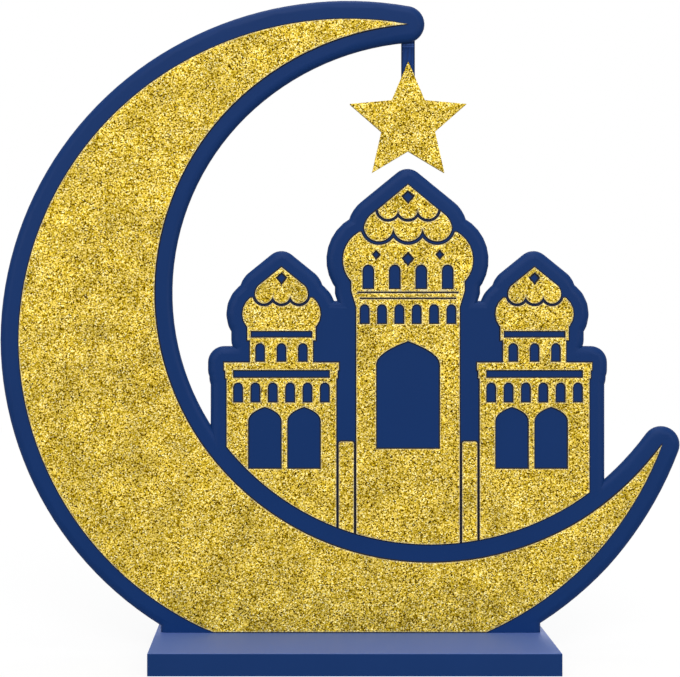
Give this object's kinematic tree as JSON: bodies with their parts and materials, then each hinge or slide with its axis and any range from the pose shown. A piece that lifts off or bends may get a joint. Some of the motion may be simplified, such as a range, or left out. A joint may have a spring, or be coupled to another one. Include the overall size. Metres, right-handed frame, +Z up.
{
  "type": "table decoration",
  "caption": "Flat crescent moon sign with a domed mosque inside it and a star hanging from its upper tip, standing by a tongue in a grooved base slab.",
  "frame": {"origin": "centre of the base slab's underside", "axes": "+X along the base slab to the right as seen from the front, +Y from the gold front to the plain back, +Z up"},
  "size_m": [0.3068, 0.076, 0.2946],
  "materials": {
    "navy_board": "satin paint",
    "gold_glitter": "glitter card",
    "navy_ribbon": "satin"
  },
  "bodies": {
    "base": {"base_slab": "navy_board"},
    "board": {"backing_board": "navy_board", "crescent_panel": "gold_glitter", "centre_cap_panel": "gold_glitter", "centre_scallop_panel": "gold_glitter", "centre_tower_panel": "gold_glitter", "left_cap_panel": "gold_glitter", "left_tower_panel": "gold_glitter", "left_pillar_panel": "gold_glitter", "right_cap_panel": "gold_glitter", "right_tower_panel": "gold_glitter", "right_pillar_panel": "gold_glitter", "ribbon_glued_end": "navy_ribbon"},
    "ribbon": {"ribbon_drop": "navy_ribbon"},
    "star": {"ribbon_star_end": "navy_ribbon", "star_front": "gold_glitter", "star_back": "gold_glitter"}
  },
  "joints": [
    {"name": "board_lift", "type": "slide", "parent": "base", "child": "board", "axis": [0, 0, 1], "range_m": [0, 0.008]},
    {"name": "star_swing", "type": "hinge", "parent": "board", "child": "ribbon", "pos_m": [0.02619, 0.00275, 0.2753], "axis": [1, 0, 0], "range_deg": [-60, 60]},
    {"name": "star_twist", "type": "hinge", "parent": "ribbon", "child": "star", "pos_m": [0.02619, 0.00275, 0.2677], "axis": [0, 0, 1], "range_deg": [-90, 90], "stiffness_Nm_per_rad": 0.00002}
  ]
}
